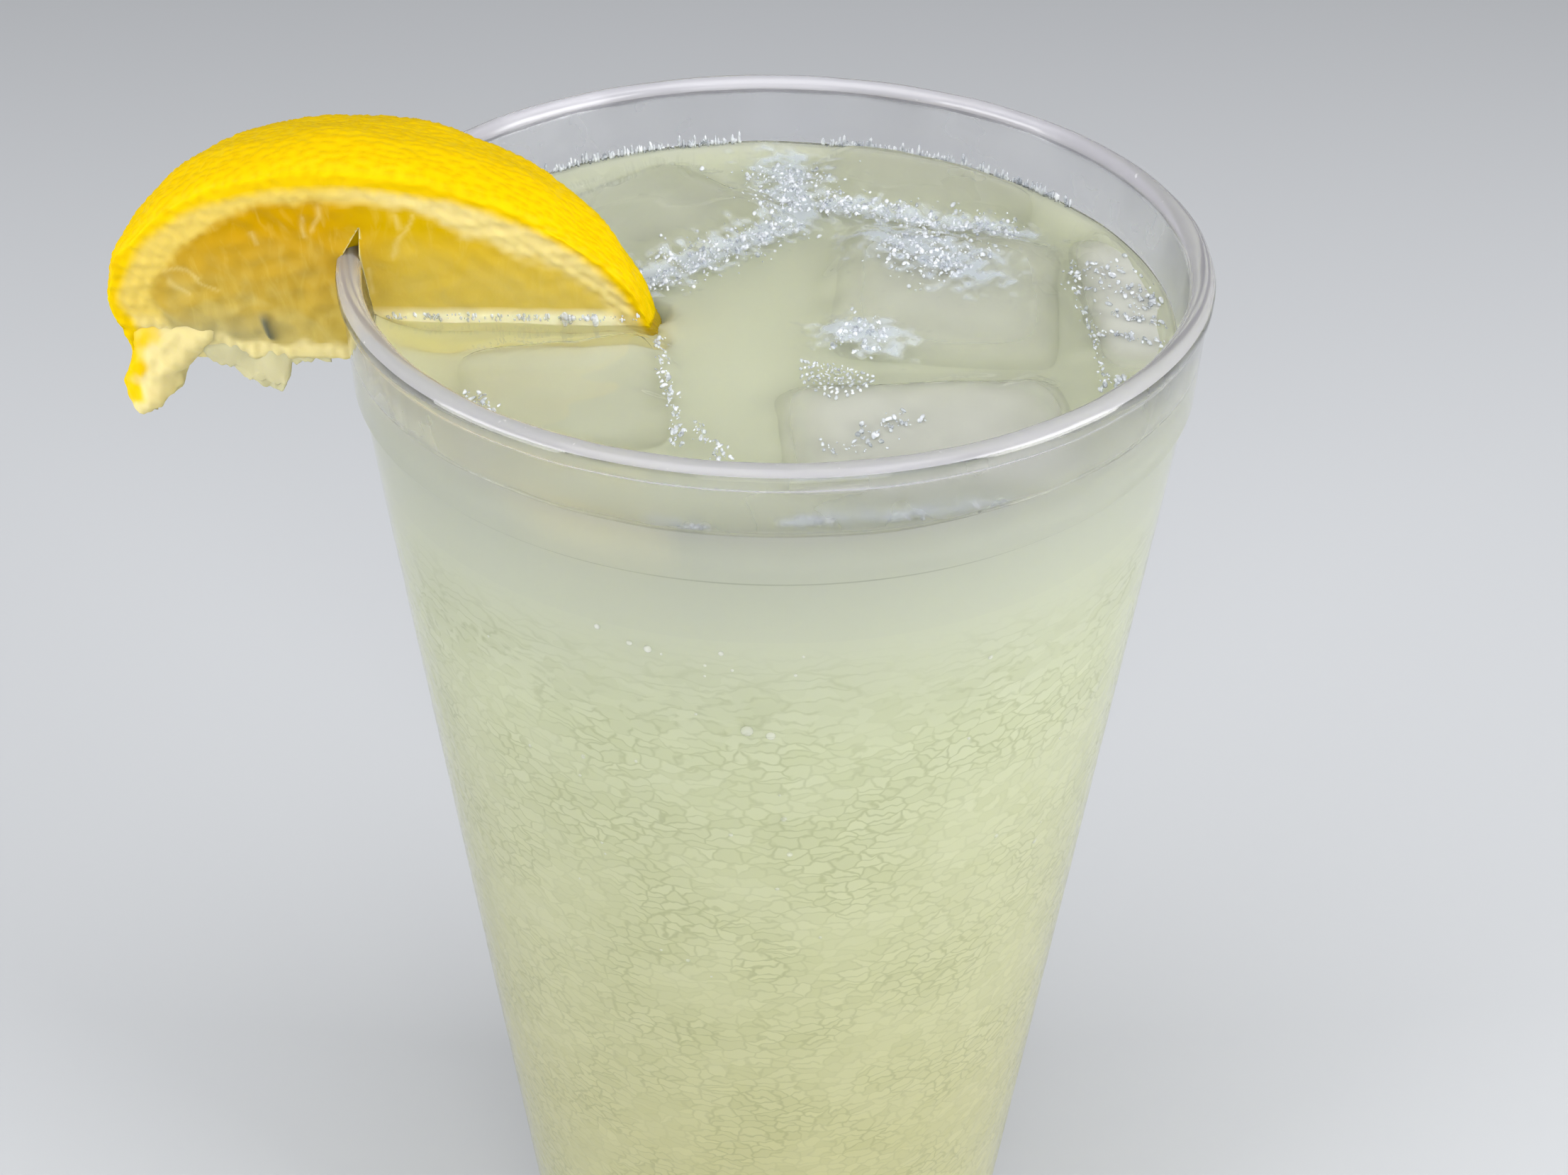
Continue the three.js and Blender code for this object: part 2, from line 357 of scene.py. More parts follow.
def surfaced(material, tree, inputs):
    """Gives a material its one shader, joined to its output."""
    shader = add(tree, "BsdfPrincipled", inputs)
    add(tree, "OutputMaterial", {"Surface": shader.outputs[0]})
    return material


def see_through(material, tree, colour, rough, ior, clear):
    """Gives a material a shader that lets light through, bent by its IOR."""
    return surfaced(material, tree, {
        "Base Color": colour, "Roughness": rough, "IOR": ior, "Transmission Weight": clear,
    })


def value_of(tree, name):
    """What the mesh keeps under a name at each point."""
    return add(tree, "Attribute", attribute_name=name).outputs["Fac"]


def noise(tree, scale, detail):
    """Soft noise from 0 to 1 in the piece's own space, finer as the scale grows."""
    place = add(tree, "TexCoord").outputs["Object"]
    inputs = {"Vector": place, "Scale": scale, "Detail": detail}
    return add(tree, "TexNoise", inputs).outputs[0]


def times(tree, first, second, kind="Math"):
    """The product of two values, or of two vectors part by part with the kind of node for them."""
    return add(tree, kind, {0: first, 1: second}, operation="MULTIPLY").outputs[0]


def spread(tree, value, low=0.0, high=1.0, at_low=0.0, at_high=1.0, **settings):
    """A run from at_low, where a value is low, to at_high, where it is high, and level beyond."""
    return add(tree, "MapRange", {
        "Value": value, "From Min": low, "From Max": high, "To Min": at_low, "To Max": at_high,
    }, **settings).outputs[0]


def mix(tree, share, first, second):
    """The first colour where the share is 0, going over to the second where it is 1."""
    first, second = (to_linear(hue) if isinstance(hue, str) else hue for hue in (first, second))
    inputs = {"Factor": share, 6: first, 7: second}
    return add(tree, "Mix", inputs, data_type="RGBA").outputs[2]


def laid_over(tree, colour, *layers):
    """A colour under layers, each a share and a colour mixed in by it."""
    for share, hue in layers:
        colour = mix(tree, share, colour, hue)
    return colour


def outer_radius(z):
    """Outer wall: a cone that loses the taper for each millimetre below the rim."""
    return WALL_RADIUS_AT_RIM - WALL_TAPER * (RIM_HEIGHT - z)


def inner_radius(z):
    """Inner wall: the outer cone less the wall's thickness."""
    return outer_radius(z) - WALL_THICKNESS


def bend(start, corner, end, count):
    """Points of a quadratic curve from start to end, drawn towards a corner."""
    t = np.linspace(0, 1, count)[:, None]
    start, corner, end = (np.array(place) for place in (start, corner, end))
    return (1 - t) ** 2 * start + 2 * t * (1 - t) * corner + t ** 2 * end


def tumbler_mesh():
    """The tumbler: a profile of radius and height turned about Z, with pebbles on its outer wall.

    A pebble is a rounded swelling inside each cell of strewn points, and a groove lies where the
    nearest two points are as far away as each other. Cells near the top are wide, flat ripples.
    The lip, the foot and the lower edge of the bead are worn, and the step is bent into a crease,
    marked to be tinted with painted shade.
    """
    step = RIM_HEIGHT - STEP_BELOW_RIM
    bead = RIM_HEIGHT - BEAD_HEIGHT
    crown = RIM_HEIGHT - RIM_ROUND
    wall_low = FOOT_ROUND + 1
    floor_edge = FLOOR_THICKNESS + FLOOR_ROUND
    foot_r, floor_r = outer_radius(0), inner_radius(FLOOR_THICKNESS)
    wall_z = np.linspace(wall_low, PEBBLES_TOP, PEBBLE_ROWS)
    quarter = np.linspace(0, np.pi / 2, 7)
    outer_round = np.stack([RIM_RADIUS - RIM_ROUND + RIM_ROUND * np.cos(quarter),
                            crown + RIM_ROUND * np.sin(quarter)], -1)
    inner_round = np.stack([inner_radius(crown) + RIM_ROUND - RIM_ROUND * np.sin(quarter),
                            crown + RIM_ROUND * np.cos(quarter)], -1)
    step_z = np.linspace(step - 0.5, step + 0.9, 18)
    wall_r = outer_radius(step_z)
    over_step = np.interp(step_z, (step + STEP_WIDTH, bead),
                          (outer_radius(step) + STEP_WIDTH, SHOULDER_RADIUS))
    step_r = wall_r + (over_step - wall_r) * smooth(step - 0.2, step + 0.4, step_z)
    inner_z = np.concatenate([np.linspace(crown - 0.6, DRINK_LEVEL - 2, 12),
                              np.linspace(DRINK_LEVEL - 6, floor_edge, 5)])
    parts = [
        [(0, 0), (foot_r - FOOT_ROUND, 0)],
        bend((foot_r - FOOT_ROUND, 0), (foot_r, 0), (outer_radius(FOOT_ROUND), FOOT_ROUND), 6)[1:],
        np.stack([outer_radius(wall_z), wall_z], -1),
        np.stack([step_r, step_z], -1),
        [(SHOULDER_RADIUS, bead - 0.3), (SHOULDER_RADIUS + 0.04, bead),
         (RIM_RADIUS - 0.1, bead + 0.35), (RIM_RADIUS, bead + 0.6)],
        outer_round,
        inner_round[1:],
        np.stack([inner_radius(inner_z), inner_z], -1),
        bend((inner_radius(floor_edge), floor_edge), (floor_r, FLOOR_THICKNESS),
             (floor_r - FLOOR_ROUND, FLOOR_THICKNESS), 6)[1:],
        [(0, FLOOR_THICKNESS)],
    ]
    profile = np.concatenate([np.asarray(part, float) for part in parts])
    starts = np.cumsum([len(part) for part in parts])
    on_wall, on_rim, worn, crease_shade, hazed = np.zeros((5, len(profile)))
    on_wall[starts[1]:starts[2]] = 1 - smooth(PEBBLES_FULL, PEBBLES_TOP, wall_z)
    on_rim[starts[3] + 1:starts[6]] = 1
    worn[starts[4] + 3:starts[6]] = 1
    worn[[*range(starts[1] + WORN_FOOT_ROWS), starts[3] + 2]] = 1
    # Rows of the step's crease, tinted darker in the plastic as painted shade
    crease_shade[starts[2] + 4:starts[2] + 11] = 1
    hazed[starts[6]:starts[7]] = smooth(DRINK_LEVEL, DRINK_LEVEL + 1.5, inner_z)
    angle = np.linspace(0.5 * np.pi, 2.5 * np.pi, WALL_COLUMNS, endpoint=False)
    radius, height = profile[:, :1], np.repeat(profile[:, 1:], WALL_COLUMNS, axis=1)
    girth = 2 * np.pi * outer_radius(RIM_HEIGHT / 2)
    swell = 0
    rippled = smooth(RIPPLES_FOOT, RIPPLES_FULL, height)
    for width, tall, share, seed in ((PEBBLE_WIDTH, PEBBLE_HEIGHT, 1 - rippled, 11),
                                     (RIPPLE_WIDTH, RIPPLE_HEIGHT, rippled, 15)):
        around = round(girth / width)
        u = np.broadcast_to(angle / (2 * np.pi) * around, height.shape)
        first, second = cells(u, height / tall, around, seed)
        swell = swell + share * smooth(0, 0.45, second - first)
    radius = radius + PEBBLE_RELIEF * (swell - 0.5) * on_wall[:, None]
    points = turned(radius, angle, height)
    wear = on_rim[:, None] * (0.025 * waves(points, 7, 12) + 0.008 * waves(points, 2, 13))
    points = points - grid_normals(points) * wear[..., None]
    values = {key: np.broadcast_to(value[:, None], height.shape)
              for key, value in (("pebbled", on_wall), ("hazed", hazed), ("crease_shade", crease_shade))}
    rows = len(profile) - 1
    column = np.arange(WALL_COLUMNS)[None, :] + np.zeros((rows, 1))
    across = girth / WALL_COLUMNS
    wrap = np.stack([
        np.stack([(column + right) * across, profile[down:rows + down, 1:] + 0 * column], -1)
        for right, down in ((0, 0), (1, 0), (1, 1), (0, 1))
    ], 2)
    finish = np.where(worn > 0, 1, np.where(on_wall > 0, 2, 0))[1:, None]
    finishes = np.repeat(finish, WALL_COLUMNS, axis=1)
    return make_mesh("moulded_tumbler", points, values, wrap=wrap, finishes=finishes)


def ice_frame(ice):
    """Axes and middle of a floating block: turned about Z after leaning about its own X and Y."""
    lean = [math.radians(angle) for angle in ice["lean"]]
    axes = Matrix.Rotation(math.radians(ice["turn"]), 3, "Z") @ Matrix.Rotation(lean[1], 3, "Y")
    axes = np.array(axes @ Matrix.Rotation(lean[0], 3, "X"))
    middle = np.array([*ice["at"], DRINK_LEVEL + ice["rise"] - FILM_ON_ICE - ice["size"][2] / 2])
    return axes, middle


def footprint(ice, x, y):
    """How far a place lies outside a block's top, negative inside it, and its local x and y."""
    turn = math.radians(ice["turn"])
    dx, dy = x - ice["at"][0], y - ice["at"][1]
    across = dx * math.cos(turn) + dy * math.sin(turn)
    along = dy * math.cos(turn) - dx * math.sin(turn)
    reach_x = np.abs(across) - ice["size"][0] / 2 + ICE_CORNER
    reach_y = np.abs(along) - ice["size"][1] / 2 + ICE_CORNER
    outside = np.hypot(np.maximum(reach_x, 0), np.maximum(reach_y, 0))
    return outside + np.minimum(np.maximum(reach_x, reach_y), 0) - ICE_CORNER, across, along


def room_to_wall(x, y):
    """How far a place on the drink is from the wall, and nothing past it."""
    return np.maximum(inner_radius(DRINK_LEVEL) - np.hypot(x, y), 0)


def drink_height(x, y):
    """The drink's surface: level, drawn up at the wall, with a wet film over each block of ice."""
    place = np.stack([x, y], -1)
    from_wall = room_to_wall(x, y)
    height = DRINK_LEVEL + 0.05 * waves(place, 14, 21)
    height = height + MENISCUS_HEIGHT * np.exp(-from_wall / MENISCUS_WIDTH)
    lift = np.zeros(x.shape)
    for number, ice in enumerate(ICE_PIECES.values()):
        outside, across, along = footprint(ice, x, y)
        lean_x, lean_y = (math.radians(angle) for angle in ice["lean"])
        top = ice["rise"] + along * math.sin(lean_x) - across * math.sin(lean_y)
        top = top + 0.07 * waves(place, 7, 30 + number)
        edge = outside + 0.6 * waves(place, 6, 90 + number)
        lift = np.maximum(lift, np.maximum(top, 0) * smooth(2.4, -3.6, edge))
    return height + lift * smooth(0, 1.5, from_wall)


def cloudy_height(x, y):
    """Where the drink gets too cloudy to see through: under its surface, closer by the wall, and
    deeper through the ice and along the sunk edge of the wedge."""
    depth = np.full(x.shape, CLEAR_DEPTH)
    for ice in ICE_PIECES.values():
        through = ice["seen"] * smooth(1.5, -4.5, footprint(ice, x, y)[0])
        depth = np.maximum(depth, CLEAR_DEPTH + through)
    beside = np.hypot(np.maximum(np.maximum(-44 - x, x + 14), 0), np.maximum(-y - 5, y - 1))
    depth = np.maximum(depth, 4.0 * smooth(5, 1, np.abs(beside)))
    by_wall = 0.05 * smooth(5, -25, y)
    share = by_wall + (1 - by_wall) * smooth(-1, 7, room_to_wall(x, y))
    return drink_height(x, y) - depth * share - 0.15


def disc(reach, rings):
    """A disc of rings that crowd towards its edge: x and y of each point."""
    angle = full_turn(COLUMNS_ROUND)
    share = (1 - (1 - np.linspace(0, 1, rings)) ** 1.25)[:, None]
    return share * reach * np.cos(angle), share * reach * np.sin(angle)


def cloudy_mesh():
    """The cloudy body: an uneven top, a side that reaches just into the wall, a rounded foot."""
    angle = full_turn(COLUMNS_ROUND)
    reach = 1.5 * INTO_WALL
    bottom = FLOOR_THICKNESS - INTO_WALL
    x, y = disc(inner_radius(DRINK_LEVEL) + reach, CLOUDY_RINGS)
    top = np.stack([x, y, cloudy_height(x, y)], -1)
    side_z = np.linspace(top[-1, :, 2], np.full(COLUMNS_ROUND, bottom + FLOOR_ROUND), 24)
    corner = bend((1, 1), (1, 0), (0, 0), 6)[1:]
    low_r = inner_radius(bottom) + reach - FLOOR_ROUND * (1 - corner[:, :1])
    low_z = np.broadcast_to(bottom + FLOOR_ROUND * corner[:, 1:], (len(corner), COLUMNS_ROUND))
    radius = np.concatenate([inner_radius(side_z) + reach, low_r + 0 * low_z, 0 * low_z[:1]])
    height = np.concatenate([side_z, low_z, low_z[-1:]])
    points = np.concatenate([top[:-1], turned(radius, angle, height)])
    x, y, z = np.moveaxis(points, -1, 0)
    place = points[..., :2]
    from_wedge = np.hypot(np.maximum(np.maximum(-46 - x, x + 15), 0),
                          np.maximum(np.abs(y + 3) - 1, 0))
    # The top face of the cloud is marked for its own pale grey colour, a painted reflection
    on_top = np.zeros(points.shape[:2])
    on_top[:CLOUDY_RINGS - 2] = 1
    # Painted reflection of the lemon: a pale yellow patch at the front left, and a fainter one by
    # the front wall
    patch = from_line(place, (-22.5, -23.5), (-14, -29.5)) + 0.8 * waves(place, 5, 22)
    by_wall = from_line(place, (-19, -37), (-14, -39)) + waves(points, 6, 23)
    # Painted light: the cloud by the sunk edge of the wedge turns pale yellow and bright, against
    # the shade under the lemon
    lemon_light = np.maximum(smooth(5.5, 0.5, from_wedge), 0.6 * smooth(3.5, 1, patch))
    lemon_light = np.maximum(lemon_light, 0.4 * smooth(8, 0, by_wall) * smooth(149, 157, z))
    values = {"painted_lemon_light": lemon_light * smooth(138, 148, z), "on_top": on_top}
    return make_mesh("cloudy_body", points, values)


def frost_share(x, y):
    """How frosted the drink is: ragged bands along the edges of the ice, and patches on it. Two
    bands by the front wall are white put there as painted highlights.
    """
    place = np.stack([x, y], -1)
    ragged = 0.8 * waves(place, 3, 81) + 0.5 * waves(place, 1.4, 82)
    share = np.zeros(x.shape)
    for start, end, width in FROST_AND_GLINT_BANDS:
        away = from_line(place, start, end)
        share = np.maximum(share, smooth(1.1 * width, 0.1 * width, away + 0.4 * width * ragged))
    return share


def surface_mesh():
    """The clear top of the drink: a wet surface, and under it a bed sunk in the cloudy body."""
    x, y = disc(inner_radius(DRINK_LEVEL) + INTO_WALL, SURFACE_RINGS)
    top = np.stack([x, y, drink_height(x, y)], -1)
    low_x, low_y = disc(inner_radius(DRINK_LEVEL) - 1.5, BED_RINGS)
    bed = np.stack([low_x, low_y, cloudy_height(low_x, low_y) - 0.8], -1)[::-1]
    brink = top[-1:].copy()
    brink[..., 2] = cloudy_height(x[-1:], y[-1:]) - 0.3
    points = np.concatenate([top, brink, bed])
    frost = np.zeros(points.shape[:2])
    frost[:SURFACE_RINGS] = frost_share(x, y)
    return make_mesh("lemonade_surface", points, {"frost": frost})


def ice_mesh(name, ice, seed):
    """A melting block: a lumpy superellipsoid that stops short of the wall and under the film."""
    rise = np.linspace(-np.pi / 2, np.pi / 2, ICE_ROWS)[:, None]
    round_about = full_turn(ICE_COLUMNS)[None, :]
    direction = np.stack([np.cos(rise) * np.cos(round_about), np.cos(rise) * np.sin(round_about),
                          np.sin(rise) + 0 * round_about], -1)
    half = np.array(ice["size"]) / 2
    reach = (np.abs(direction / half) ** ICE_SQUARENESS).sum(-1, keepdims=True)
    reach = reach ** (-1 / ICE_SQUARENESS)
    local = direction * reach * (1 + 0.006 * waves(direction * half, 8, seed)[..., None])
    axes, middle = ice_frame(ice)
    points = local @ axes.T + middle
    radius = np.hypot(points[..., 0], points[..., 1])
    limit = inner_radius(points[..., 2]) - 1.2
    points[..., :2] *= np.minimum(1, limit / np.maximum(radius, 1e-6))[..., None]
    film = drink_height(points[..., 0], points[..., 1])
    points[..., 2] = np.minimum(points[..., 2], film - FILM_ON_ICE)
    inward = np.prod(1 - np.abs(local[..., :2] / half[:2]) ** 4, axis=-1)
    return make_mesh(name, points, {"veil": ice["veil"] * inward.clip(0.1, 1)})


def lemon_radius(fraction):
    """Lemon radius at a share of the way from its middle to the stem (-1) or the tip (+1)."""
    fullness = np.where(fraction < 0, STEM_FULLNESS, TIP_FULLNESS)
    return LEMON_RADIUS * np.sqrt(np.maximum(1 - np.abs(fraction) ** fullness, 0))


def to_tumbler(local):
    """Places points of the wedge's own frame (along the core, to the back, up) on the tumbler."""
    axes = Matrix.Rotation(WEDGE_TURN, 3, "Z") @ Matrix.Rotation(-WEDGE_TIP_UP, 3, "Y")
    return local @ np.array(axes).T + WEDGE_PLACE


def cut_face(radius, lean, side, shares):
    """Points on a knife cut at each section: from the blunt core, leaning outward, to the rind."""
    base = np.array([side * CORE_HALF_WIDTH, -CORE_BELOW_AXIS])
    toward = np.array([side * math.sin(lean), math.cos(lean)])
    inward = base @ toward
    length = np.sqrt(np.maximum(inward ** 2 - base @ base + radius ** 2, 0)) - inward
    length = np.maximum(length, 0)
    return base + (length[:, None] * shares)[..., None] * toward


def wedge_mesh():
    """The wedge: round each section run the front cut, the rind, the back cut and the core.

    Layers on the cuts follow the distance from the rind's edge: yellow outside, then pale pith,
    then flesh, with pith again along the core. Pores dimple the rind, juice sacs swell the flesh.
    """
    fraction = -np.cos(np.linspace(0, np.pi, LEMON_ROWS))
    radius = lemon_radius(fraction)
    dimple = STEM_DIMPLE_DEPTH * np.maximum(0, 1 - (radius / STEM_DIMPLE_RADIUS) ** 2) ** 2
    rind_s = np.where(fraction < 0, fraction * STEM_LENGTH + dimple, fraction * TIP_LENGTH)
    core_s = fraction * np.where(fraction < 0, STEM_LENGTH - STEM_DIMPLE_DEPTH, TIP_LENGTH)
    worn = np.maximum(radius - EDGE_ROUND * smooth(1, 6, radius), 0)
    front = cut_face(worn, FRONT_LEAN, -1, np.linspace(0, 1, FRONT_POINTS))
    back = cut_face(worn, BACK_LEAN, 1, np.linspace(1, 0, BACK_POINTS))
    edges = [np.arctan2(cut[:, 0], cut[:, 1]) for cut in (front[:, -1], back[:, 0])]
    turn = np.linspace(edges[0], edges[1], RIND_POINTS, axis=1)[:, 1:-1]
    from_edge = radius[:, None] * np.minimum(turn - edges[0][:, None], edges[1][:, None] - turn)
    rounded = radius[:, None] - (radius - worn)[:, None] * np.exp(-from_edge / EDGE_ROUND)
    rind = rounded[..., None] * np.stack([np.sin(turn), np.cos(turn)], -1)
    section = np.concatenate([front, rind, back], axis=1)
    section[[0, -1]] = 0
    from_axis = np.linalg.norm(section, axis=-1)
    share = np.clip(from_axis / np.maximum(radius, 1e-6)[:, None], 0, 1) ** 2
    along = core_s[:, None] + (rind_s - core_s)[:, None] * share
    local = np.concatenate([along[..., None], section], -1)

    on_rind = np.zeros(along.shape)
    on_rind[:, FRONT_POINTS:-BACK_POINTS] = 1
    edge_distance = np.hypot(along[..., None] - rind_s, from_axis[..., None] - radius).min(-1)
    place = np.stack([along, from_axis], -1)
    yellow_edge = np.interp(along, (-18, -8, 6, 13, 24), (1.7, 2.4, 2.4, 1.7, 1.1))
    yellow_edge = yellow_edge + 0.12 * waves(place, 5, 3)
    pith_edge = np.interp(along, (-28, -8, 7, 12, 17, 22, 30), (5.4, 3.9, 3.8, 5.0, 5.0, 3.6, 2.6))
    pith_edge = pith_edge + 0.25 * waves(place, 5, 4) + 0.15 * waves(place, 1.6, 14)
    core_edge = np.interp(along, (-26, -12, 0, 30), (3.4, 2.2, 1.5, 1.2))
    core_edge = core_edge + 0.35 * waves(place, 3, 5)
    rind_share = np.maximum(on_rind, smooth(yellow_edge + 0.7, yellow_edge - 0.5, edge_distance))
    pith_share = np.maximum(smooth(pith_edge + 0.9, pith_edge - 0.6, edge_distance),
                            smooth(core_edge + 0.5, core_edge - 0.5, from_axis))

    arc = np.zeros(along.shape)
    arc[:, FRONT_POINTS:-BACK_POINTS] = turn * LEMON_RADIUS
    pores = cells(along / PORE_SPACING + 40, arc / PORE_SPACING + 40, 90, 6)[0]
    sacs = cells(along / 2 + 40 + 0.5 * waves(place, 7, 7),
                 from_axis / 4.5 + 0.4 * waves(place, 6, 17), 90, 8)[0]
    flesh = (1 - on_rind) * (1 - np.maximum(rind_share, pith_share))
    drawn = place + 0.3 * np.stack([waves(place, 4, 18), waves(place, 4, 19)], -1)
    from_streak = np.min([from_line(drawn, *ends) for ends in LEMON_FIBRES_AND_GLINTS], axis=0)
    # Pale lines: fibres, and on the stem side painted highlights
    fibre_and_glint = flesh * np.exp(-(from_streak / 0.24) ** 2)
    pore = on_rind * np.exp(-(pores / 0.34) ** 2)
    relief = on_rind * 0.2 * waves(local, 8, 9) - 0.2 * pore
    fibrous = 0.35 + 0.65 * smooth(4, -4, along)
    split = np.exp(-((along + 10 + 0.12 * (from_axis - 4)) / 0.55) ** 2)
    # The split between segments: dented, and painted dark grey as shade
    gap = split * smooth(6.6, 5, from_axis) * smooth(2, 3.2, from_axis) * (1 - on_rind)
    juicy = 0.1 * (0.75 - sacs) + 0.14 * waves(place, 3, 10)
    relief = relief + flesh * fibrous * juicy - 0.9 * gap + 0.06 * fibre_and_glint
    relief = relief + (1 - on_rind) * pith_share * 0.1 * waves(place, 1.6, 12)
    local = local + grid_normals(local) * (relief * smooth(0.5, 3, radius)[:, None])[..., None]
    values = {"rind": rind_share, "pith": pith_share, "pore": pore, "gap": gap, "fibre_and_glint": fibre_and_glint,
              "along": along, "out": from_axis}
    return make_mesh("lemon", to_tumbler(local), values)


def torn_pith(shape, **known):
    """Values of torn or cut pith for each point of a grid, apart from those known."""
    plain = dict.fromkeys(("rind", "pore", "gap", "fibre_and_glint", "along", "out"), 0.0) | {"pith": 1.0}
    return {key: np.broadcast_to(value, shape) for key, value in (plain | known).items()}


def slit_mesh():
    """The knife slit: a sleeve round the rim under a notch that closes behind the cut face."""
    angle = full_turn(SLIT_COLUMNS)
    bottom = RIM_HEIGHT - SLIT_BELOW_RIM
    top = RIM_HEIGHT + SLIT_GAP
    low_in, low_out = inner_radius(bottom) - SLIT_GAP, RIM_RADIUS + SLIT_GAP
    high_in = inner_radius(RIM_HEIGHT) - SLIT_GAP
    notch = RIM_HEIGHT + 0.3 + SLIT_ABOVE_RIM * smooth(-3.4, -5.4, RIM_RADIUS * np.sin(angle))
    profile = [(low_in, bottom), (low_out, bottom), (low_out, RIM_HEIGHT - RIM_ROUND),
               (low_out - 0.7, top), (high_in - 0.4, notch), (high_in, top), (low_in, bottom)]
    radius = np.array([place[0] for place in profile])[:, None] + 0 * angle
    height = np.stack([place[1] + 0 * angle for place in profile])
    # The slit's inside takes a fifth of the split's dark grey, as painted shade
    values = torn_pith(height.shape, gap=0.2, out=-6.0)
    return make_mesh("knife_slit", turned(radius, angle, height), values)


def cut_out(mesh, cutter):
    """A mesh with the room of another cut out of it."""
    pair = [put(form.name, form) for form in (mesh, cutter)]
    cut = pair[0].modifiers.new("cut", "BOOLEAN")
    cut.operation = "DIFFERENCE"
    cut.solver = "EXACT"
    cut.object = pair[1]
    seen = pair[0].evaluated_get(bpy.context.evaluated_depsgraph_get())
    result = bpy.data.meshes.new_from_object(seen)
    for form in pair:
        bpy.data.objects.remove(form)
    result.materials.clear()
    result.name = mesh.name + "_cut"
    return result


def stem_nub_mesh():
    """The stub left at the stem: an oval carried down a path, flaring at its torn end."""
    t = np.linspace(0, 1, NUB_ROWS)[:, None]
    turn = full_turn(NUB_COLUMNS)[None, :]
    along = np.interp(t, (0, 0.3, 0.6, 1), (-19.6, -21.4, -23.1, -24.1))
    width = np.interp(t, (0, 0.3, 0.55, 0.85, 1), (6.0, 4.4, 3.1, 3.3, 2.8))
    depth = np.interp(t, (0, 0.4, 1), (1.6, 2.0, 2.2))
    up = np.interp(t, (0, 1), (4.0, -6.6)) + 0.3 * smooth(0.5, 1, t) * width * np.cos(turn)
    ends = np.sqrt(1 - np.abs(2 * t - 1) ** 10)
    local = np.stack([along + ends * width * np.cos(turn), ends * depth * np.sin(turn),
                      up + 0 * turn], -1)
    lumps = 0.3 * waves(local, 4, 41) + (0.1 + 0.15 * smooth(0.8, 1, t)) * waves(local, 1.3, 42)
    local = local + grid_normals(local) * (lumps * ends)[..., None]
    outer = smooth(-0.2, -0.75, np.cos(turn) + 0.25 * waves(local, 3, 43)) + 0 * t
    values = torn_pith(outer.shape, rind=outer * smooth(0.98, 0.8, t), along=local[..., 0])
    return make_mesh("lemon_stem_nub", to_tumbler(local), values)


def pith_flap_mesh():
    """The torn flap: a thin wavy sheet hung from the core edge, thinner still at its ragged hem."""
    t = np.linspace(0, 1, FLAP_ROWS)[:, None]
    turn = full_turn(FLAP_COLUMNS)[None, :]
    along = -18.6 + 14.4 * t
    hem = np.interp(t, (0, 0.3, 0.55, 0.64, 0.7, 0.8, 1),
                    (-0.2, -2.4, -4.8, -4.2, -1.4, -1.0, -0.8))
    top = 1.6
    up = (top + hem) / 2 + (top - hem) / 2 * np.cos(turn)
    ragged = smooth(0.3, -0.9, np.cos(turn))
    place = np.stack([along + 0 * turn, up], -1)
    up = up + ragged * (0.3 * waves(place, 2.2, 51) + 0.16 * waves(place, 0.9, 52))
    thick = 0.75 * np.sqrt(np.maximum(1 - np.abs(2 * t - 1) ** 8, 0))
    back = thick * np.sin(turn) * (0.55 + 0.45 * smooth(-4, 1, up))
    back = back + 0.25 * waves(place, 5, 53) - 0.3
    local = np.stack([along + 0 * turn, back, up], -1)
    values = torn_pith(up.shape, along=local[..., 0], out=-6.0)
    return make_mesh("lemon_pith_flap", to_tumbler(local), values)


def ball():
    """Points and triangles of a round bead of few faces."""
    form = bmesh.new()
    bmesh.ops.create_icosphere(form, subdivisions=2, radius=1)
    points = np.array([vertex.co[:] for vertex in form.verts])
    faces = np.array([[vertex.index for vertex in face.verts] for face in form.faces])
    form.free()
    return points, faces


def beads_mesh(name, centres, radii, turns):
    """Beads as one mesh: a ball stretched by each bead's radii, turned about Z and moved to it."""
    points, faces = ball()
    x, y, z = np.moveaxis(points[None] * radii[:, None], -1, 0)
    cos, sin = np.cos(turns)[:, None], np.sin(turns)[:, None]
    placed = centres[:, None] + np.stack([x * cos - y * sin, x * sin + y * cos, z], -1)
    joined = faces[None] + (len(points) * np.arange(len(centres)))[:, None, None]
    return make_mesh(name, placed, faces=joined.reshape(-1, 3), weld=False)


def strew(random, start, end, width, count, largest):
    """Beads strewn along a line on the drink: even along it, bunched across it, mostly small."""
    t = random.uniform(0, 1, count)
    across = random.normal(0, width / 2, count)
    start, end = np.array(start, float), np.array(end, float)
    run = (end - start) / np.linalg.norm(end - start)
    place = start + t[:, None] * (end - start) + across[:, None] * np.array([-run[1], run[0]])
    size = SMALLEST_BEAD + (largest - SMALLEST_BEAD) * random.uniform(0, 1, count) ** 2.5
    return np.column_stack([place, size])


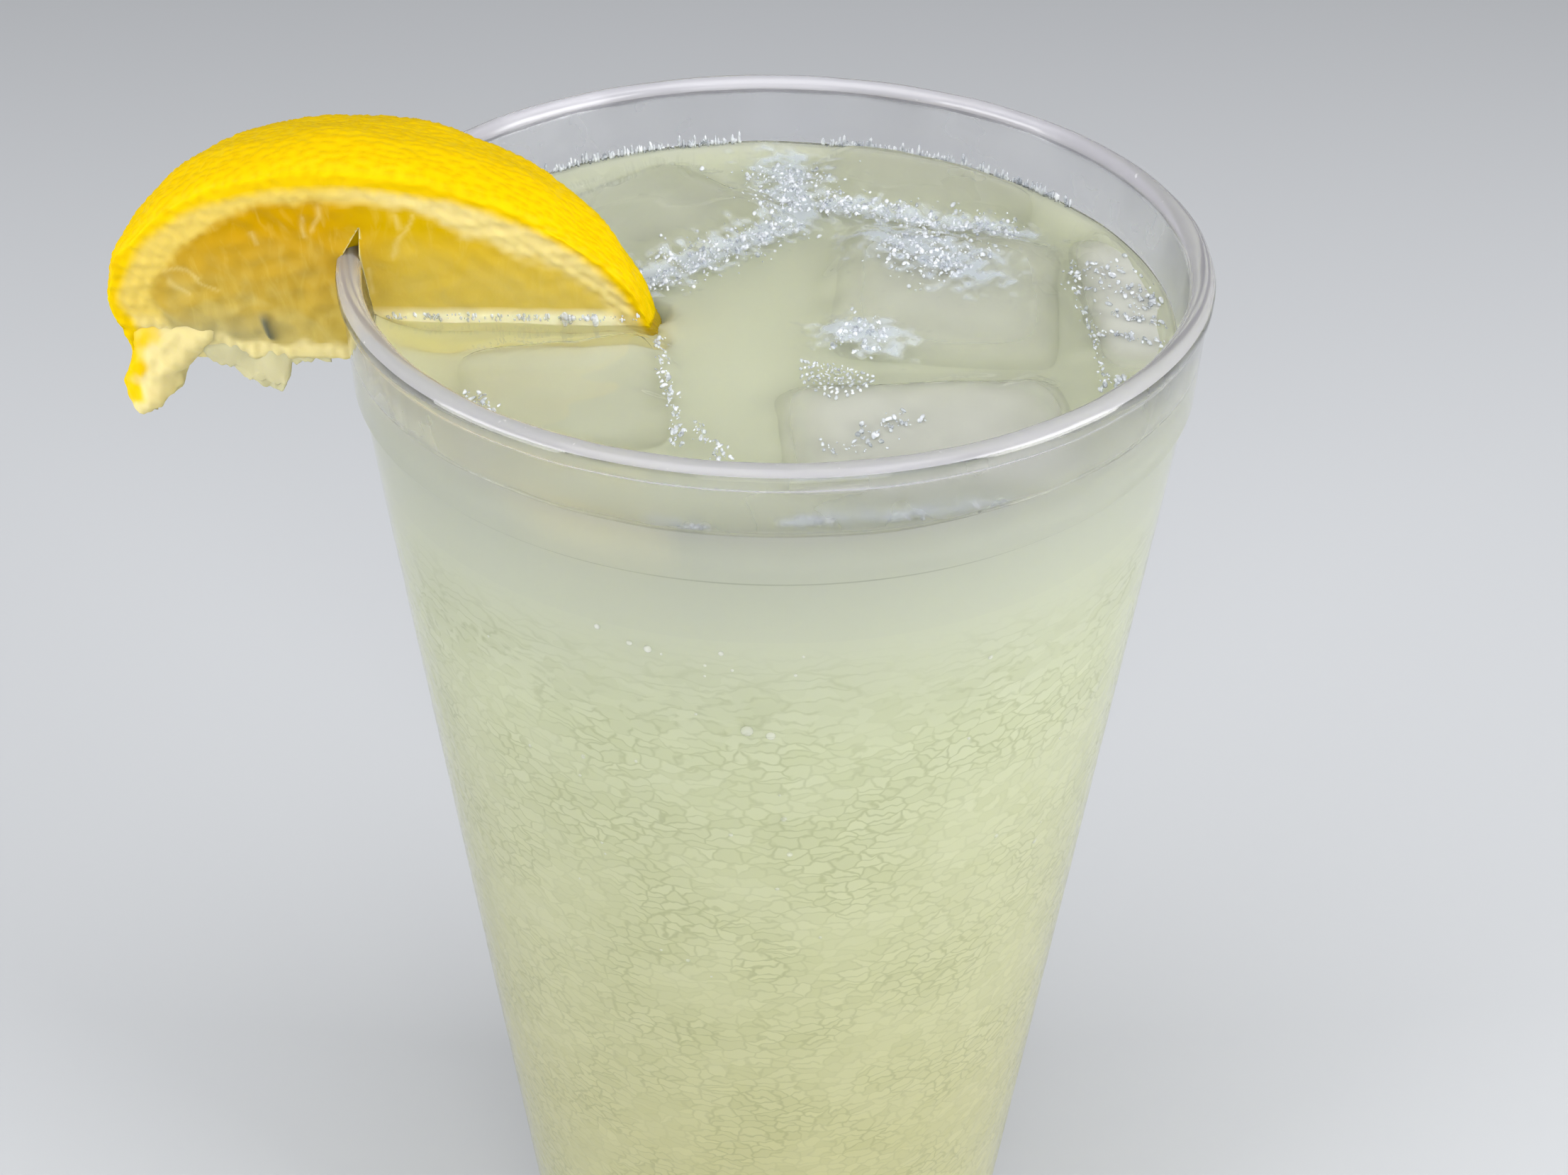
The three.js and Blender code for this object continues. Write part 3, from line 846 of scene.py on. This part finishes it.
def froth_mesh():
    """Froth on the ice: small fingers strewn along its edges and in patches, and a fan of arcs.

    Fingers lie towards the front, a few degrees to either side, half out of the drink.
    """
    random = np.random.default_rng(61)
    # Beads on the last two bands, by the front wall, are painted highlights
    bands = zip(FROST_AND_GLINT_BANDS, BEADS_ON_BANDS)
    crowds = [(*band, count, LARGEST_ON_BANDS) for band, count in bands] + FROTH_CROWDS
    strewn = np.concatenate([strew(random, *crowd) for crowd in crowds])
    rings, spokes = np.linspace(0.5, 3.8, 8), np.radians(np.linspace(175, 340, 15))
    ring, spoke = np.meshgrid(rings, spokes, indexing="ij")
    fan = np.stack([FAN_MIDDLE[0] + ring * np.cos(spoke), FAN_MIDDLE[1] + 2 * ring * np.sin(spoke),
                    0.07 + 0.03 * ring], -1).reshape(-1, 3)
    strewn = np.concatenate([strewn, fan + random.normal(0, (0.12, 0.12, 0.02), fan.shape)])
    radius = np.hypot(strewn[:, 0], strewn[:, 1])
    x, y, size = strewn[radius < inner_radius(DRINK_LEVEL) - 0.8].T
    size = np.maximum(size, 0.06)
    tall = size * random.uniform(0.7, 1.5, len(size))
    radii = np.column_stack([size, size * random.uniform(1.0, 2.8, len(size)), tall])
    centres = np.column_stack([x, y, drink_height(x, y) - 0.3 * tall])
    return beads_mesh("froth", centres, radii, random.normal(0, 0.35, len(size)))


def waterline_mesh():
    """Drops along the waterline, on the back wall and on the lemon's cut face, drawn out upward."""
    random = np.random.default_rng(62)
    turn = np.radians(np.concatenate([random.uniform(36, 83, DROPS_RIGHT),
                                      random.uniform(96, 150, DROPS_LEFT)]))
    count = len(turn)
    width = random.uniform(0.07, 0.2, count)
    tall = width * random.uniform(1.2, 5.0, count)
    height = DRINK_LEVEL + MENISCUS_HEIGHT + random.uniform(-0.7, 0.1, count) + tall * 0.6
    on_wall = turned(inner_radius(height) - 0.06, turn, height)
    along = np.concatenate([random.uniform(-40.5, -14, DROPS_SMALL),
                            random.uniform(-22, -18, DROPS_LARGE)])
    size = np.concatenate([random.uniform(0.07, 0.2, DROPS_SMALL),
                           random.uniform(0.3, 0.42, DROPS_LARGE)])
    line = DRINK_LEVEL - WEDGE_PLACE[2]
    lift = 0.6 + random.uniform(-0.35, 0.35, len(size))
    front = -CORE_HALF_WIDTH - (line + lift) * math.tan(FRONT_LEAN)
    on_lemon = to_tumbler(np.column_stack([along - WEDGE_PLACE[0], front, line + lift]))
    centres = np.concatenate([on_wall, on_lemon])
    drawn = size * random.uniform(1.0, 3.0, len(size))
    radii = np.concatenate([np.column_stack([width, width, tall]),
                            np.column_stack([size, size, drawn])])
    return beads_mesh("waterline_drops", centres, radii, np.zeros(len(centres)))


def wall_bubbles_mesh():
    """Bubbles that cling inside the front wall: a few large ones, and many fine ones about them."""
    random = np.random.default_rng(63)
    seen = np.array(WALL_BUBBLES)
    turn = np.radians(np.concatenate([seen[:, 0], random.uniform(225, 320, FINE_BUBBLES)]))
    fine_height = DRINK_LEVEL - random.uniform(12, 62, FINE_BUBBLES)
    height = np.concatenate([RIM_HEIGHT - seen[:, 1], fine_height])
    size = np.concatenate([seen[:, 2], 0.14 + 0.2 * random.uniform(0, 1, FINE_BUBBLES) ** 3])
    centres = turned(inner_radius(height) + 0.5 * size, turn, height)
    radii = np.repeat(size[:, None], 3, axis=1)
    return beads_mesh("wall_bubbles", centres, radii, np.zeros(len(size)))


def clear_moulded_plastic():
    """SAN, moulded: clear and glossy. The cold drink hazes its inside above the level, and the
    step's crease is tinted darker, a painted shade for the light lost in it."""
    material, tree = new_material("clear_moulded_plastic")
    mist = times(tree, value_of(tree, "hazed"), noise(tree, 160.0, 2.0))
    rough = add(tree, "Math", {0: mist, 1: 0.55, 2: 0.05}, operation="MULTIPLY_ADD").outputs[0]
    # Painted shade: the step's crease tinted grey-green
    colour = mix(tree, value_of(tree, "crease_shade"), "#FAFAFC", "#BDC0B2")
    return see_through(material, tree, colour, rough, PLASTIC_IOR, 1.0)


def scuffed_rim_plastic():
    """The same plastic at the lip, matt and greyed a little violet by wear, with bright nicks."""
    material, tree = new_material("scuffed_rim_plastic")
    scuffs = noise(tree, 700.0, 3.0)
    colour = mix(tree, spread(tree, scuffs, 0.71, 0.76), "#D3D1D7", "#FFFFFF")
    rough = spread(tree, scuffs, 0.3, 0.7, 0.1, 0.22)
    return see_through(material, tree, colour, rough, PLASTIC_IOR, 0.62)


def crackled_plastic():
    """The same plastic where the mould's crackle pebbles it: panes of slightly different clearness.

    Grooves between panes of the pebbles' own size are tinted darker, a painted shade for the light
    lost in them.
    """
    material, tree = new_material("crackled_plastic")
    place = add(tree, "UVMap", uv_map="wrap").outputs[0]
    pebbled = value_of(tree, "pebbled")
    moved = place
    for scale, reach in ((0.26, (2.4, 1.4, 0)), (0.75, (1.3, 0.9, 0))):
        drift = add(tree, "TexNoise", {"Vector": place, "Scale": scale, "Detail": 1.0},
                    noise_dimensions="2D").outputs[1]
        drift = times(tree, drift, reach, "VectorMath")
        moved = add(tree, "VectorMath", {0: moved, 1: drift}, operation="ADD").outputs[0]
    scaled, stretched = (
        times(tree, moved, (1 / width, 1 / tall, 0), "VectorMath")
        for width, tall in ((PEBBLE_WIDTH, PEBBLE_HEIGHT), (RIPPLE_WIDTH, RIPPLE_HEIGHT))
    )
    crackle, ripple = (
        add(tree, "TexVoronoi", {"Vector": at, "Scale": 1.0, "Randomness": 1.0},
            voronoi_dimensions="2D", feature="DISTANCE_TO_EDGE").outputs["Distance"]
        for at in (scaled, stretched)
    )
    height = add(tree, "SeparateXYZ", {0: place}).outputs["Y"]
    rippled = spread(tree, height, RIPPLES_FOOT, RIPPLES_FULL)
    crackle = add(tree, "Mix", {"Factor": rippled, "A": crackle, "B": ripple}).outputs[0]
    each = add(tree, "TexVoronoi", {"Vector": scaled, "Scale": 1.0, "Randomness": 1.0},
               voronoi_dimensions="2D").outputs["Color"]
    groove = spread(tree, crackle, 0.0, 0.16, 1.0, 0.0, interpolation_type="SMOOTHSTEP")
    groove = times(tree, groove, pebbled)
    patches = add(tree, "TexNoise", {"Vector": place, "Scale": 0.09, "Detail": 2.0},
                  noise_dimensions="2D").outputs[0]
    patches = spread(tree, patches, 0.35, 0.62, 0.3, 1.0)
    pane = mix(tree, times(tree, each, pebbled), "#FFFFFF", "#E6E8DA")
    # Painted shade: the grooves tinted grey-green, more strongly in patches
    colour = mix(tree, times(tree, groove, patches), pane, "#C6CAB0")
    return see_through(material, tree, colour, 0.07, PLASTIC_IOR, 1.0)


def cloudy_lemonade():
    """Cloudy lemonade: fine pulp scatters light softly, a little yellower towards the foot. Its top
    face has its own greyer colour as a painted reflection, and painted yellow light lies by the
    lemon.
    """
    material, tree = new_material("cloudy_lemonade")
    place = add(tree, "TexCoord").outputs["Object"]
    height = add(tree, "SeparateXYZ", {0: place}).outputs["Z"]
    colour = laid_over(
        tree, "#E4E2B2",
        (spread(tree, height, 60 * MM, 130 * MM), "#EBEFD2"),
        (spread(tree, height, 130 * MM, 153 * MM), "#D3D7C4"),
        # Painted reflection: the top face greyer than the sides
        (value_of(tree, "on_top"), "#E9ECD9"),
        # Painted yellow light by the lemon
        (value_of(tree, "painted_lemon_light"), "#FFF8C6"),
    )
    return surfaced(material, tree, {
        "Base Color": colour,
        "Roughness": 0.4,
        "IOR": WATER_IOR,
        "Specular IOR Level": 0.2,
        "Subsurface Weight": 0.5,
        "Subsurface Radius": (1.0, 1.0, 0.7),
        "Subsurface Scale": 5 * MM,
    })


def clear_lemonade():
    """The top of the drink: see-through like water, white and matt where it is frosted, and where
    two bands by the front wall are painted highlights.
    """
    material, tree = new_material("clear_lemonade")
    frost = value_of(tree, "frost")
    colour = mix(tree, frost, "#F4F5E9", "#DCE4EC")
    clear = spread(tree, frost, at_low=1.0, at_high=0.5)
    rough = spread(tree, frost, at_low=0.0, at_high=0.3)
    return see_through(material, tree, colour, rough, WATER_IOR, clear)


def wet_ice():
    """Freezer ice in the drink: clear with a milky veil. Its edges barely show, as the drink
    bends light nearly as much."""
    material, tree = new_material("wet_ice")
    drift = spread(tree, noise(tree, 90.0, 2.0), at_low=0.7, at_high=1.3)
    milk = times(tree, value_of(tree, "veil"), drift)
    clear = add(tree, "Math", {0: 1.0, 1: milk}, operation="SUBTRACT").outputs[0]
    return see_through(material, tree, to_linear("#FFFFFF"), 0.08, ICE_IN_DRINK_IOR, clear)


def bubble_film():
    """Bubbles and frost: thin clear walls with bright edges, milky in places, faintly blue."""
    material, tree = new_material("bubble_film")
    drift = noise(tree, 900.0, 2.0)
    clear = spread(tree, drift, 0.35, 0.65, 0.8, 0.15)
    colour = mix(tree, drift, "#E4ECF6", "#FCFDFF")
    return see_through(material, tree, colour, 0.05, WATER_IOR, clear)


def painted_bubble_sheen():
    """Small bubbles of air held against the wall: opaque and paler than the drink round them, a
    painted sheen for the light they reflect.
    """
    material, tree = new_material("painted_bubble_sheen")
    return surfaced(material, tree, {
        # Painted sheen: opaque pale white for the light the bubbles reflect
        "Base Color": mix(tree, noise(tree, 1200.0, 1.0), "#F1F4E2", "#FFFFFF"),
        "Roughness": 0.2,
        "IOR": WATER_IOR,
    })


def fresh_lemon():
    """Lemon, cut: waxy pored yellow rind, matt cream pith and wet translucent golden flesh."""
    material, tree = new_material("fresh_lemon")
    rind, pith, pore, gap, fibre_and_glint, along, out = (
        value_of(tree, name) for name in ("rind", "pith", "pore", "gap", "fibre_and_glint", "along", "out")
    )
    place = add(tree, "CombineXYZ", {"X": along, "Y": out}).outputs[0]
    stretched = times(tree, place, (0.55, 0.14, 1), "VectorMath")
    streaks = add(tree, "TexNoise", {
        "Vector": stretched, "Scale": 1.0, "Detail": 3.0, "Roughness": 0.55, "Distortion": 1.6,
    }).outputs[0]
    mottle = add(tree, "TexNoise", {
        "Vector": place, "Scale": 0.22, "Detail": 2.0, "Distortion": 0.8,
    }).outputs[0]
    ripe = spread(tree, out, 3.0, 17.0)
    unripe = add(tree, "Math", {0: 1.0, 1: ripe}, operation="SUBTRACT").outputs[0]
    inside = spread(tree, along, -2.0, 6.0)
    by_stem = spread(tree, along, -14.0, -5.0, 1.0, 0.0)
    # Flesh inside the cup is coloured lighter than the flesh hung outside: partly its own tone,
    # partly painted light against the rim's shade
    hung = mix(tree, ripe, "#B59E48", "#B88D00")
    sunk = mix(tree, ripe, "#D8C468", "#C8A404")
    flesh = mix(tree, inside, hung, sunk)
    cloud = times(tree, spread(tree, mottle, 0.45, 0.7, at_high=0.6), unripe)
    # Painted shade: a grey-olive tint in the flesh near the core, towards the stem end
    thin = times(tree, spread(tree, out, 3.0, 7.0, 0.65, 0.0), by_stem)
    pale = spread(tree, streaks, 0.5, 0.8, at_high=0.2)
    # Painted light: flesh near the core inside the cup, by the waterline, tinted near white against
    # the shade under the wedge
    wet = times(tree, spread(tree, out, 5.8, 7.0, 1.0, 0.0), inside)
    # Fibres and painted highlights, tinted pale
    fibre_and_glint = times(tree, fibre_and_glint, 0.24)
    flesh = laid_over(tree, flesh, (cloud, "#C4B26A"), (thin, "#A39D76"), (pale, "#DCC872"),
                      (wet, "#FFF8D2"), (fibre_and_glint, "#EEE0A0"))
    # Torn pith is greyer: the flap's own tone, and inside the slit a painted shade
    cream = mix(tree, spread(tree, out, -6.0, 0.0), "#BFB992", "#DACB8E")
    # Pith by the flesh is lighter inside the cup, partly as painted light
    pulp_side = mix(tree, inside, "#D3B95A", "#DECB84")
    cream = mix(tree, spread(tree, out, 3.0, 6.0), cream, pulp_side)
    cut = mix(tree, pith, flesh, cream)
    peel = mix(tree, noise(tree, 220.0, 3.0), "#DFBE00", "#D8B200")
    peel = mix(tree, pore, peel, "#CBA400")
    colour = mix(tree, rind, cut, peel)
    matt = add(tree, "Math", {0: pith, 1: rind}, operation="MAXIMUM").outputs[0]
    grain = {"Height": noise(tree, 1600.0, 2.0), "Strength": 0.25, "Distance": 0.1 * MM}
    return surfaced(material, tree, {
        # Painted shade: dark grey in the split between segments and inside the slit
        "Base Color": mix(tree, gap, colour, "#5E6152"),
        "Roughness": spread(tree, matt, at_low=0.16, at_high=0.42),
        "IOR": LEMON_IOR,
        "Specular IOR Level": 0.05,
        "Subsurface Weight": 0.3,
        "Subsurface Radius": (1.0, 0.75, 0.2),
        "Subsurface Scale": 2 * MM,
        "Normal": add(tree, "Bump", grain).outputs[0],
    })


def pale_floor():
    """A plain pale studio floor, matt."""
    material, tree = new_material("pale_floor")
    return surfaced(material, tree, {
        "Base Color": to_linear("#C6C8CB"),
        "Roughness": 0.7,
    })


def make_floor():
    """A flat square under the tumbler that the camera never sees the end of."""
    half = 3000
    corners = [(-half, -half, 0), (half, -half, 0), (half, half, 0), (-half, half, 0)]
    mesh = make_mesh("floor", corners, faces=np.array([[0, 1, 2, 3]]), weld=False)
    made = put("floor", mesh)
    made.data.materials.append(pale_floor())


def make_camera():
    """The camera at the photograph's place, aimed by its pan, tilt and roll."""
    place = np.array([0, -CAMERA_DISTANCE * math.cos(CAMERA_ELEVATION),
                      RIM_HEIGHT + CAMERA_DISTANCE * math.sin(CAMERA_ELEVATION)])
    ahead = Vector((math.sin(CAMERA_PAN) * math.cos(CAMERA_TILT),
                    math.cos(CAMERA_PAN) * math.cos(CAMERA_TILT), math.sin(CAMERA_TILT)))
    level = Vector((math.cos(CAMERA_PAN), -math.sin(CAMERA_PAN), 0))
    upright = level.cross(ahead)
    right = math.cos(CAMERA_ROLL) * level + math.sin(CAMERA_ROLL) * upright
    up = math.cos(CAMERA_ROLL) * upright - math.sin(CAMERA_ROLL) * level
    data = bpy.data.cameras.new("camera")
    data.lens = FOCAL_LENGTH
    data.sensor_width = SENSOR_WIDTH
    data.clip_start = 0.01
    made = put("camera", data)
    axes = Matrix((right, up, -ahead)).transposed()
    made.matrix_world = Matrix.Translation(Vector(place * MM)) @ axes.to_4x4()
    scene.camera = made


def make_light(name, place, size, power, colour="#FFFFFF"):
    """A soft square light at a place in millimetres, turned to the top of the drink."""
    data = bpy.data.lights.new(name, "AREA")
    data.size = size * MM
    data.energy = power
    data.color = to_linear(colour)[:3]
    made = put(name, data)
    made.location = Vector(place) * MM
    toward = Vector((0, 0, DRINK_LEVEL)) * MM - made.location
    made.rotation_euler = toward.to_track_quat("-Z", "Y").to_euler()


def make_studio():
    """Plain soft light: a broad one overhead, others at each side and in front, a dim surround."""
    make_light("overhead", (-60, -250, 950), 900, 6.0)
    make_light("left", (-800, -330, 380), 600, 5.8)
    make_light("right", (800, -300, 400), 600, 8.5)
    make_light("front", (60, -850, 300), 700, 3.2)
    world = bpy.data.worlds.new("studio")
    world.use_nodes = True
    backdrop = world.node_tree.nodes["Background"]
    backdrop.inputs["Color"].default_value = to_linear("#C9CBD0")
    backdrop.inputs["Strength"].default_value = 0.4
    scene.world = world
    scene.view_settings.view_transform = "Standard"
    scene.cycles.max_bounces = 9
    scene.cycles.transmission_bounces = 9
    scene.cycles.diffuse_bounces = 4
    scene.cycles.glossy_bounces = 3


make_camera()
make_studio()
make_floor()

plastic = [clear_moulded_plastic(), scuffed_rim_plastic(), crackled_plastic()]
ice_finish = wet_ice()
lemon = fresh_lemon()
bubbles = bubble_film()

make_piece(tumbler_mesh(), plastic, "clear_plastic", "tumbler")
make_piece(cloudy_mesh(), [cloudy_lemonade()], "lemonade", "lemonade")
make_piece(surface_mesh(), [clear_lemonade()], "lemonade")
for number, (name, ice) in enumerate(ICE_PIECES.items()):
    make_piece(ice_mesh(name + "_melting", ice, 70 + number), [ice_finish], "ice", name)
make_piece(cut_out(wedge_mesh(), slit_mesh()), [lemon], "lemon", "lemon_wedge")
make_piece(stem_nub_mesh(), [lemon], "lemon")
make_piece(pith_flap_mesh(), [lemon], "lemon")
make_piece(froth_mesh(), [bubbles], "ice")
make_piece(waterline_mesh(), [bubbles], "lemonade")
make_piece(wall_bubbles_mesh(), [painted_bubble_sheen()], "lemonade")

bpy.context.view_layer.update()
